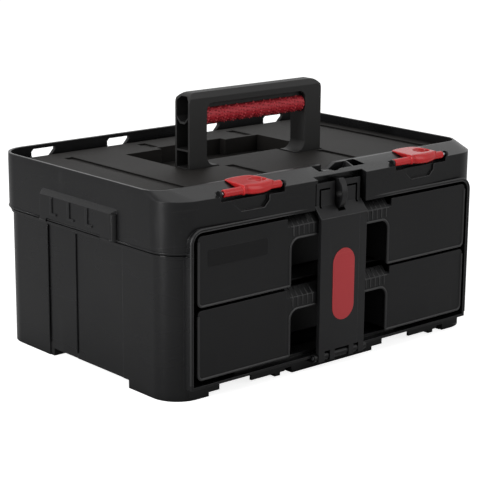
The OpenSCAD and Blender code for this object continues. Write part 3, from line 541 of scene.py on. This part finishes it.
def bladeRings(xc):
    rings = []
    front, count = latchShape["bladeFront"], latchShape["bladeRows"]
    for step in range(latchShape["bladeWide"] + 1):
        u = latchShape["bladeLeft"] + step
        spots = [front + (rearEdge(u) - front) * k / count for k in range(count + 1)]
        rows = [(v, *bladeHeights(u, v)) for v in spots]
        ring = [(v, top) for v, _, top in rows] + [(v, under) for v, under, _ in reversed(rows)]
        rings.append([(xc + u, latchShape["y"] + v, latchShape["z"] + w) for v, w in ring])
    return rings


# the band bows out in front of the hinge, between a collar and the right-hand barrel
def bandRings(xc):
    left, right, steps = latchShape["bandLeft"], latchShape["bandRight"], latchShape["bandSteps"]
    sides, square = latchShape["bandSides"], latchShape["square"]
    rings = []
    for step in range(steps + 1):
        u = left + (right - left) * step / steps
        swell = max(0.0, math.sin(math.pi * min(1.0, max(0.0, (u + 10) / (right + 10))))) ** 0.8
        front = 5.0 + latchShape["bow"] * swell
        low, high = -4.2 - 1.7 * swell, 6.4
        if u < -12.8:  # collar
            front, low, high = 5.7, -5.2, 6.4
        elif u < -10.2:  # groove beside it
            front, low, high = 4.7, -4.2, 5.2
        ring = []
        for k in range(sides):
            turn = 2 * math.pi * k / sides
            c, s = math.cos(turn), math.sin(turn)
            v = abs(c) ** square * (4.6 if c > 0 else -front)
            w = (low + high) / 2 + math.copysign(abs(s) ** square, s) * (high - low) / 2
            if c < 0 and w > 1.2:
                v += min(0.8, (w - 1.2) * 0.8) * swell
            ring.append((xc + u, latchShape["y"] + v, latchShape["z"] + w))
        rings.append(ring)
    return rings


def barrelRings(xc):
    y, z, half, radius = (latchShape[key] for key in ("y", "z", "half", "barrel"))
    spots = [(-half, radius - 1.1), (-half + 0.3, radius - 0.4), (-half + 1.0, radius)]
    spots += [(-half + 1 + (half - 1) * k / 10, radius) for k in range(1, 20)]
    spots += [(half - 1.0, radius), (half - 0.3, radius - 0.4), (half, radius - 1.1)]
    turns = [math.pi * k / 36 for k in range(72)]
    return [[(xc + u, y + r * math.cos(turn), z + r * math.sin(turn)) for turn in turns] for u, r in spots]


# blade, band and barrels are moulded as one
def buildLatch(node, xc):
    bm = bmesh.new()
    for rings in (bladeRings(xc), bandRings(xc), barrelRings(xc)):
        skinRings(bm, rings)
    bmesh.ops.recalc_face_normals(bm, faces=bm.faces)
    mesh = bpy.data.meshes.new(node)
    bm.to_mesh(mesh)
    bm.free()
    host = bpy.data.objects.new("latchHost", mesh)
    scene.collection.objects.link(host)
    fuse = host.modifiers.new("fuse", "REMESH")
    fuse.mode = "VOXEL"
    fuse.voxel_size = latchShape["voxel"] * mm
    relax = host.modifiers.new("relax", "SMOOTH")
    relax.iterations = latchShape["relax"]
    result = evaluated(host)
    bpy.data.objects.remove(host)
    result.shade_smooth()
    newPiece(node + "Moulded", result, latchPaint, bodyOf[node], slotOf[node], node)


for node, xc in latchShape["places"].items():
    buildLatch(node, xc)
print("latches done")


# a Geometry Nodes tree with named inputs
def newTree(name, *inputs):
    tree = bpy.data.node_groups.new(name, "GeometryNodeTree")
    tree.interface.new_socket("Geometry", in_out="INPUT", socket_type="NodeSocketGeometry")
    for label, kind, value in inputs:
        socket = tree.interface.new_socket(label, in_out="INPUT", socket_type="NodeSocket" + kind)
        if value is not None:
            socket.default_value = value
    tree.interface.new_socket("Geometry", in_out="OUTPUT", socket_type="NodeSocketGeometry")
    return tree, addNode(tree, "NodeGroupInput", -1400, 0), addNode(tree, "NodeGroupOutput", 1200, 0)


# the last nodes of every tree
def finishTree(tree, geometry, paint, out):
    real = addNode(tree, "GeometryNodeRealizeInstances", 800, 0)
    dye = addNode(tree, "GeometryNodeSetMaterial", 1000, 0)
    plug(tree,
         (geometry, real.inputs["Geometry"]),
         (real.outputs["Geometry"], dye.inputs["Geometry"]),
         (paint, dye.inputs["Material"]),
         (dye.outputs["Geometry"], out.inputs["Geometry"]))


# the mesh that a tree makes from a host mesh, with its inputs set by identifier
def grown(mesh, tree, values):
    host = bpy.data.objects.new("growHost", mesh)
    scene.collection.objects.link(host)
    grow = host.modifiers.new("grow", "NODES")
    grow.node_group = tree
    for item in tree.interface.items_tree:
        if item.item_type == "SOCKET" and item.in_out == "INPUT" and item.name in values:
            grow[item.identifier] = values[item.name]
    result = evaluated(host)
    bpy.data.objects.remove(host)
    return result


# round bead along a path, repeated in even steps
def beadTree():
    tree, given, out = newTree("beads", ("Radius", "Float", 0.001), ("Sides", "Int", 8), ("Count", "Int", 1),
                               ("Step", "Vector", (0.0, 0.0, 0.0)), ("Paint", "Material", None))
    path = addNode(tree, "GeometryNodeMeshToCurve", -1000, 200)
    ring = addNode(tree, "GeometryNodeCurvePrimitiveCircle", -1000, -100)
    skin = addNode(tree, "GeometryNodeCurveToMesh", -700, 100)
    skin.inputs["Fill Caps"].default_value = True
    row = addNode(tree, "GeometryNodeMeshLine", -700, 400)
    repeat = addNode(tree, "GeometryNodeInstanceOnPoints", -200, 200)
    plug(tree,
         (given.outputs["Geometry"], path.inputs["Mesh"]),
         (given.outputs["Radius"], ring.inputs["Radius"]),
         (given.outputs["Sides"], ring.inputs["Resolution"]),
         (path.outputs["Curve"], skin.inputs["Curve"]),
         (ring.outputs["Curve"], skin.inputs["Profile Curve"]),
         (given.outputs["Count"], row.inputs["Count"]),
         (given.outputs["Step"], row.inputs["Offset"]),
         (row.outputs["Mesh"], repeat.inputs["Points"]),
         (skin.outputs["Mesh"], repeat.inputs["Instance"]))
    smooth = addNode(tree, "GeometryNodeSetShadeSmooth", 600, 0)
    plug(tree, (repeat.outputs["Instances"], smooth.inputs["Geometry"]))
    finishTree(tree, smooth.outputs["Geometry"], given.outputs["Paint"], out)
    return tree


beads = beadTree()


def pathMesh(points):
    mesh = bpy.data.meshes.new("path")
    mesh.from_pydata([Vector(spot) * mm for spot in points], [(k, k + 1) for k in range(len(points) - 1)], [])
    return mesh


def bead(path, radius, paint, count=1, step=(0.0, 0.0, 0.0), sides=8):
    return grown(path, beads, {"Radius": radius * mm, "Sides": sides, "Count": count,
                               "Step": [value * mm for value in step], "Paint": paint})


def joined(name, meshes):
    bm = bmesh.new()
    for mesh in meshes:
        bm.from_mesh(mesh)
    bmesh.ops.recalc_face_normals(bm, faces=bm.faces)
    result = bpy.data.meshes.new(name)
    bm.to_mesh(result)
    bm.free()
    return result


# points of an arc in the plane of the drawer fronts
def arc(x, z, radius, start, end, count=8):
    turns = [math.radians(start + (end - start) * k / count) for k in range(count + 1)]
    return [(x + radius * math.cos(turn), z + radius * math.sin(turn)) for turn in turns]


frontShape = {"y": -163.7, "half": 208.5, "height": 77.2, "corner": 5.0,
              "places": {"upper_drawer": 104.9, "lower_drawer": 24.0},
              "archHalf": 76.4, "archHeight": 53.5, "archRound": 12.0,
              "lip": 1.7, "lipOut": 1.2, "inset": 0.9, "over": 0.7, "foot": 1.2, "behindBar": 38.5,
              "stripSlope": 9.5, "stripEdge": (39.0, 77.4, 0.85),
              "ribs": 5, "ribPitch": 7.5, "ribFirst": 42.4, "ribRadius": 0.95}


# raised lip around each drawer front, over its arch, and ribs on its pull strip, in the lip paint with its
# painted highlight
def buildFrontTrim(body, low):
    f = frontShape
    y, high = f["y"] - f["lipOut"] + f["lip"], low + f["height"]
    side, foot = f["half"] - f["inset"], low + f["inset"]
    archX, archZ = f["archHalf"] + f["over"], low + f["archHeight"] + f["over"]
    r, bend = f["archRound"], f["foot"]
    half = [(f["behindBar"], archZ)] + arc(archX - r, archZ - r, r, 90, 0)
    half += arc(archX + bend, foot + bend, bend, 180, 270, 3)
    half += arc(side - f["corner"], foot + f["corner"], f["corner"], -90, 0) + [(side, high - 6)]
    parts = [bead(pathMesh([(way * x, y, z) for x, z in half]), f["lip"], lipHighlightPaint) for way in (-1, 1)]
    slopeZ, topY = high - f["stripSlope"], f["y"] + f["stripSlope"]
    ribLine = [(f["y"] + 0.1, archZ + 2.5), (f["y"] + 0.1, slopeZ - 1.2), (f["y"] + 0.6, slopeZ + 0.2),
               (topY - 0.6, high - 0.8), (topY + 1.2, high - 0.9)]
    near, far, edgeRadius = f["stripEdge"]
    for way in (-1, 1):
        rib = pathMesh([(way * f["ribFirst"], y, z) for y, z in ribLine])
        parts.append(bead(rib, f["ribRadius"], lipHighlightPaint, f["ribs"], (way * f["ribPitch"], 0, 0), 6))
        edge = pathMesh([(way * x, f["y"] + 0.4, slopeZ) for x in (near, far)])
        parts.append(bead(edge, edgeRadius, lipHighlightPaint, sides=6))
    newPiece(body + "Trim", joined(body + "Trim", parts), lipHighlightPaint, body, "black_plastic")


for body, low in frontShape["places"].items():
    buildFrontTrim(body, low)

openingShape = {"half": 214.0, "low": 17.5, "high": 185.8, "round": 12.0, "y": -163.1, "middle": 41.0,
                "inner": (0.7, 0.9), "outer": (3.3, 1.2)}  # each lip: how far out, and its radius


# double lip around the drawer opening, in the lip paint with its painted highlight
def buildOpeningTrim():
    o = openingShape
    parts = []
    for grow, radius in (o["inner"], o["outer"]):
        x, z, r = o["half"] + grow, o["high"] + grow, o["round"] + grow
        half = [(o["middle"], z)] + arc(x - r, z - r, r, 90, 0) + [(x, o["low"] + 3)]
        for side in (-1, 1):
            parts.append(bead(pathMesh([(side * a, o["y"], b) for a, b in half]), radius, lipHighlightPaint))
    newPiece("openingTrim", joined("openingTrim", parts), lipHighlightPaint, "box", "black_plastic")


buildOpeningTrim()

outlineShape = {"half": (240, 168), "centreY": 2.8, "rear": 169.2}


# outline of a node's outer walls at one height,
# where an edge lies near the outside and its wall faces outwards
def outlineAt(node, height):
    bm = bmesh.new()
    bm.from_mesh(frame["nodes"][node].data)
    bmesh.ops.remove_doubles(bm, verts=bm.verts, dist=rounding["weld"])
    cut = bmesh.ops.bisect_plane(bm, geom=bm.verts[:] + bm.edges[:] + bm.faces[:],
                                 plane_co=(0, 0, height * mm), plane_no=(0, 0, 1))
    kept = []
    halfX, halfY = (half * mm for half in outlineShape["half"])
    for item in cut["geom_cut"]:
        if isinstance(item, bmesh.types.BMEdge):
            middle = (item.verts[0].co + item.verts[1].co) / 2
            away = Vector((middle.x / halfX, (middle.y - outlineShape["centreY"] * mm) / halfY))
            walls = [face.normal.to_2d().dot(away) for face in item.link_faces if abs(face.normal.z) < 0.8]
            if max(abs(away.x), abs(away.y)) > 0.9 and any(wall > 0.3 for wall in walls):
                kept.append(item)
    bm.verts.index_update()
    edges = [tuple(vert.index for vert in edge.verts) for edge in kept]
    used = sorted({k for edge in edges for k in edge})
    place = {k: n for n, k in enumerate(used)}
    bm.verts.ensure_lookup_table()
    mesh = bpy.data.meshes.new("outline")
    spots = [bm.verts[k].co.copy() for k in used]
    for spot in spots:
        spot.y = min(spot.y, outlineShape["rear"] * mm)
    mesh.from_pydata(spots, [(place[a], place[b]) for a, b in edges], [])
    bm.free()
    return mesh


seamShape = {"top_cover": (164.3, 0.95), "casing": (160.4, 0.9)}  # height and radius of each bead
# upright beads on both sides: ribs of the casing wall, rounded nose of the hood and its ribs
sideBeads = ({"x": 236.0, "y": 17.3, "z": (15.5, 155.0),
              "radius": 1.15, "count": 2, "step": 55.0, "sides": 8},
             {"x": 240.5, "y": -60.7, "z": (163.2, 193.4),
              "radius": 6.0, "count": 1, "step": 0.0, "sides": 48},
             {"x": 246.9, "y": -21.1, "z": (173.2, 192.4),
              "radius": 0.75, "count": 3, "step": 34.0, "sides": 8})


def buildSeamTrim():
    parts = [bead(outlineAt(node, height), radius, wallPaint) for node, (height, radius) in seamShape.items()]
    for side in (-1, 1):
        for b in sideBeads:
            path = pathMesh([(side * b["x"], b["y"], z) for z in b["z"]])
            parts.append(bead(path, b["radius"], wallPaint, b["count"], (0, b["step"], 0), b["sides"]))
    newPiece("seamTrim", joined("seamTrim", parts), wallPaint, "box", "black_plastic")


buildSeamTrim()


# how far forward a node reaches at one spot of its front
def frontOf(node, x, z):
    bm = bmesh.new()
    bm.from_mesh(frame["nodes"][node].data)
    skin = BVHTree.FromBMesh(bm)
    bm.free()
    return skin.ray_cast(Vector((x * mm, -0.3, z * mm)), Vector((0, 1, 0)))[0].y / mm


notchShape = {"x": 130.7, "radius": 0.6, "out": 0.6,
              "outline": ((-17.6, 200.2), (15.3, 200.2), (22.6, 207.6), (22.6, 213.5))}


# lip along the finger notches under the latches, in the lip paint with its painted highlight
def buildNotchTrim():
    parts = []
    out = notchShape["out"]
    for xc in (-notchShape["x"], notchShape["x"]):
        points = [(xc + u, frontOf("top_cover", xc + u + out, z - out), z) for u, z in notchShape["outline"]]
        parts.append(bead(pathMesh(points), notchShape["radius"], lipHighlightPaint, sides=6))
    newPiece("notchTrim", joined("notchTrim", parts), lipHighlightPaint, "box", "black_plastic")


buildNotchTrim()

barShape = {"half": 35.6, "y": -169.35, "fold": 175.1, "headY": -158.4, "headZ": 187.6, "radius": 0.7}


# folds on the shoulder of the lock bar, in the lip paint with its painted highlight
def buildBarTrim():
    b = barShape
    head, fold = (b["headY"], b["headZ"]), (b["y"], b["fold"])
    points = [(-b["half"], *head), (-b["half"], *fold), (b["half"], *fold), (b["half"], *head)]
    newPiece("barTrim", bead(pathMesh(points), b["radius"], lipHighlightPaint), lipHighlightPaint, "lock_bar", "black_plastic")


buildBarTrim()

gripShape = {"y": -10.2, "z": 275.6, "radius": 9.7, "half": 74.5, "around": 16, "rows": 36, "slotHalf": 4.9,
             "studRadius": 2.3, "studTop": 0.55, "studHeight": 0.75}


# rows of small flat-topped pyramids around the grip, each row turned by half a step
def knurlTree():
    tree, given, out = newTree("knurl", ("Radius", "Float", 0.01), ("Around", "Int", 16), ("Rows", "Int", 30),
                               ("Half", "Float", 0.07), ("Slot", "Float", 0.004), ("Stud", "Float", 0.002),
                               ("Top", "Float", 0.0005), ("Height", "Float", 0.0007),
                               ("Centre", "Vector", (0.0, 0.0, 0.0)), ("Paint", "Material", None))
    radius, around, rows = (given.outputs[name] for name in ("Radius", "Around", "Rows"))
    half, slot = given.outputs["Half"], given.outputs["Slot"]

    def calc(kind, x, y, a, b=None):
        node = addNode(tree, "ShaderNodeMath", x, y, operation=kind)
        for socket, value in zip(node.inputs, (a, b)):
            if isinstance(value, (int, float)):
                socket.default_value = value
            elif value is not None:
                tree.links.new(value, socket)
        return node.outputs[0]

    total = calc("MULTIPLY", -1200, 300, around, rows)
    points = addNode(tree, "GeometryNodePoints", -300, 300)
    number = addNode(tree, "GeometryNodeInputIndex", -1200, 0).outputs[0]
    row = calc("FLOOR", -900, 100, calc("DIVIDE", -1050, 100, number, around))
    column = calc("MODULO", -1050, -100, number, around)
    shift = calc("MULTIPLY", -900, -100, calc("MODULO", -1050, -200, row, 2.0), 0.5)
    part = calc("DIVIDE", -750, -100, calc("ADD", -850, -200, column, shift), around)
    turn = calc("MULTIPLY", -600, -100, part, 2 * math.pi)
    across, up = calc("COSINE", -450, -100, turn), calc("SINE", -450, -250, turn)
    share = calc("DIVIDE", -750, 200, row, calc("SUBTRACT", -900, 250, rows, 1.0))
    along = calc("SUBTRACT", -600, 200, calc("MULTIPLY", -700, 250, share, 2.0), 1.0)
    x = calc("MULTIPLY", -450, 100, along, half)
    y, z = calc("MULTIPLY", -300, -100, across, radius), calc("MULTIPLY", -300, -250, up, radius)
    spot = addNode(tree, "ShaderNodeCombineXYZ", -150, 0)
    place = addNode(tree, "ShaderNodeVectorMath", 0, 0, operation="ADD")
    move = addNode(tree, "GeometryNodeSetPosition", 100, 300)
    # the slot on top of the grip stays free
    near = calc("LESS_THAN", -150, -300, calc("ABSOLUTE", -250, -350, y), slot)
    inSlot = calc("MULTIPLY", 0, -300, near, calc("GREATER_THAN", -150, -400, up, 0.0))
    drop = addNode(tree, "GeometryNodeDeleteGeometry", 250, 300)
    tilt = addNode(tree, "ShaderNodeCombineXYZ", 0, -150)
    stud = addNode(tree, "GeometryNodeMeshCone", 100, 600)
    stud.inputs["Vertices"].default_value = 4
    studs = addNode(tree, "GeometryNodeInstanceOnPoints", 400, 200)
    plug(tree,
         (total, points.inputs["Count"]),
         (x, spot.inputs["X"]), (y, spot.inputs["Y"]), (z, spot.inputs["Z"]),
         (spot.outputs[0], place.inputs[0]), (given.outputs["Centre"], place.inputs[1]),
         (points.outputs[0], move.inputs["Geometry"]), (place.outputs[0], move.inputs["Position"]),
         (move.outputs["Geometry"], drop.inputs["Geometry"]), (inSlot, drop.inputs["Selection"]),
         (calc("SUBTRACT", -150, -150, turn, math.pi / 2), tilt.inputs["X"]),
         (given.outputs["Stud"], stud.inputs["Radius Bottom"]),
         (given.outputs["Top"], stud.inputs["Radius Top"]),
         (given.outputs["Height"], stud.inputs["Depth"]),
         (drop.outputs["Geometry"], studs.inputs["Points"]), (stud.outputs["Mesh"], studs.inputs["Instance"]),
         (tilt.outputs[0], studs.inputs["Rotation"]))
    finishTree(tree, studs.outputs["Instances"], given.outputs["Paint"], out)
    return tree


def buildKnurl():
    g = gripShape
    lengths = {"Radius": "radius", "Half": "half", "Slot": "slotHalf", "Stud": "studRadius", "Top": "studTop",
               "Height": "studHeight"}
    values = {label: g[key] * mm for label, key in lengths.items()}
    values.update({"Around": g["around"], "Rows": g["rows"], "Centre": (0.0, g["y"] * mm, g["z"] * mm),
                   "Paint": gripPaint})
    mesh = grown(bpy.data.meshes.new("seed"), knurlTree(), values)
    print("  knurl faces:", len(mesh.polygons))
    newPiece("gripKnurl", mesh, gripPaint, "handle", "grip_rubber")


buildKnurl()

fieldShape = {"x": (-195.0, -110.0), "z": (147.0, 166.5), "round": 2.5,
              "y": (-163.0, -163.82, -163.9), "inset": (0.995, 0.98)}


# bare field on the upper front, a low plate with a soft edge
def buildField():
    (x0, x1), (z0, z1), r = fieldShape["x"], fieldShape["z"], fieldShape["round"]
    corners = ((x1 - r, z1 - r), (x0 + r, z1 - r), (x0 + r, z0 + r), (x1 - r, z0 + r))
    ring = [spot for k, (x, z) in enumerate(corners) for spot in arc(x, z, r, 90 * k, 90 * k + 90, 4)]
    midX, midZ = (x0 + x1) / 2, (z0 + z1) / 2
    shareX, shareZ = fieldShape["inset"]
    inset = [(midX + (x - midX) * shareX, midZ + (z - midZ) * shareZ) for x, z in ring]
    bm = bmesh.new()
    skinRings(bm, [[(x, y, z) for x, z in line] for y, line in zip(fieldShape["y"], (ring, ring, inset))])
    bmesh.ops.recalc_face_normals(bm, faces=bm.faces)
    mesh = bpy.data.meshes.new("field")
    bm.to_mesh(mesh)
    bm.free()
    newPiece("bareField", mesh, fieldPaint, "upper_drawer", "black_plastic")


buildField()
print("trim done")


camera = {"lens": 119.0, "sensor": 36, "far": 20, "azimuth": -41.135, "elevation": 14.22, "roll": 0.4406,
          "distance": 1.94573, "across": -0.00303, "above": 0.10954, "back": 0.0028}


def buildCamera():
    az, el = math.radians(camera["azimuth"]), math.radians(camera["elevation"])
    back = Vector((math.sin(az) * math.cos(el), -math.cos(az) * math.cos(el), math.sin(el)))
    right = Vector((math.cos(az), math.sin(az), 0))
    up = back.cross(right)
    roll = math.radians(camera["roll"])
    level = right * math.cos(roll) + up * math.sin(roll)
    upright = up * math.cos(roll) - right * math.sin(roll)
    data = bpy.data.cameras.new("viewCamera")
    data.lens = camera["lens"]
    data.sensor_width = camera["sensor"]
    data.clip_end = camera["far"]
    obj = bpy.data.objects.new("viewCamera", data)
    scene.collection.objects.link(obj)
    place = back * camera["distance"] + level * camera["across"] + upright * camera["above"]
    place.y += camera["back"]
    turn = Matrix((level, upright, back)).transposed().to_4x4()
    obj.matrix_world = Matrix.Translation(place) @ turn
    scene.camera = obj


buildCamera()

stageLook = {"floorSize": 12.0, "floor": (0.8, 0.8, 0.8), "lift": 0.82, "world": 0.3}


# the floor looks white to the camera, and still takes the shadow
def buildFloor():
    mesh = bpy.data.meshes.new("floor")
    s = stageLook["floorSize"] / 2
    mesh.from_pydata([(-s, -s, 0), (s, -s, 0), (s, s, 0), (-s, s, 0)], [], [(0, 1, 2, 3)])
    floor = bpy.data.objects.new("floor", mesh)
    scene.collection.objects.link(floor)
    mat = bpy.data.materials.new("floorPaint")
    mat.use_nodes = True
    tree = mat.node_tree
    tree.nodes.clear()
    out = addNode(tree, "ShaderNodeOutputMaterial", 600, 0)
    paint = addNode(tree, "ShaderNodeBsdfDiffuse", 0, 100)
    paint.inputs["Color"].default_value = (*stageLook["floor"], 1)
    glow = addNode(tree, "ShaderNodeEmission", 0, -100)
    path = addNode(tree, "ShaderNodeLightPath", -600, -100)
    lift = addNode(tree, "ShaderNodeMath", -300, -100, operation="MULTIPLY")
    lift.inputs[1].default_value = stageLook["lift"]
    both = addNode(tree, "ShaderNodeAddShader", 300, 0)
    plug(tree,
         (path.outputs["Is Camera Ray"], lift.inputs[0]),
         (lift.outputs[0], glow.inputs["Strength"]),
         (paint.outputs[0], both.inputs[0]),
         (glow.outputs[0], both.inputs[1]),
         (both.outputs[0], out.inputs["Surface"]))
    mesh.materials.append(mat)


# white to the camera and in reflections, and dim as a light
def buildWorld():
    world = bpy.data.worlds.new("studio")
    scene.world = world
    world.use_nodes = True
    tree = world.node_tree
    tree.nodes.clear()
    out = addNode(tree, "ShaderNodeOutputWorld", 600, 0)
    seen = addNode(tree, "ShaderNodeBackground", 0, 100)
    lit = addNode(tree, "ShaderNodeBackground", 0, -100)
    for node, strength in ((seen, 1.0), (lit, stageLook["world"])):
        node.inputs["Color"].default_value = (1, 1, 1, 1)
        node.inputs["Strength"].default_value = strength
    path = addNode(tree, "ShaderNodeLightPath", -600, 0)
    shiny = addNode(tree, "ShaderNodeMath", -400, 0, operation="MAXIMUM")
    shown = addNode(tree, "ShaderNodeMath", -200, 0, operation="MAXIMUM")
    mix = addNode(tree, "ShaderNodeMixShader", 300, 0)
    plug(tree,
         (path.outputs["Is Camera Ray"], shiny.inputs[0]),
         (path.outputs["Is Glossy Ray"], shiny.inputs[1]),
         (shiny.outputs[0], shown.inputs[0]),
         (path.outputs["Is Transmission Ray"], shown.inputs[1]),
         (shown.outputs[0], mix.inputs["Fac"]),
         (lit.outputs[0], mix.inputs[1]),
         (seen.outputs[0], mix.inputs[2]),
         (mix.outputs[0], out.inputs["Surface"]))


lampAim = (0, 0, 0.12)
lamps = {  # place, size across and up, power
    "above": ((0.1, 0.2, 2.3), (2.0, 1.6), 12),
    "cornerStrip": ((-2.2, -0.12, 0.6), (0.22, 1.2), 32),
    "frontFill": ((0.9, -2.3, 1.0), (1.6, 1.4), 14),
}


def buildLamps():
    for name, (place, size, power) in lamps.items():
        data = bpy.data.lights.new(name, "AREA")
        data.shape = "RECTANGLE"
        data.size, data.size_y = size
        data.energy = power
        obj = bpy.data.objects.new(name, data)
        scene.collection.objects.link(obj)
        obj.location = place
        obj.rotation_euler = (Vector(lampAim) - Vector(place)).to_track_quat("-Z", "Y").to_euler()


buildFloor()
buildWorld()
buildLamps()
scene.view_settings.view_transform = "Standard"
print("stage done")
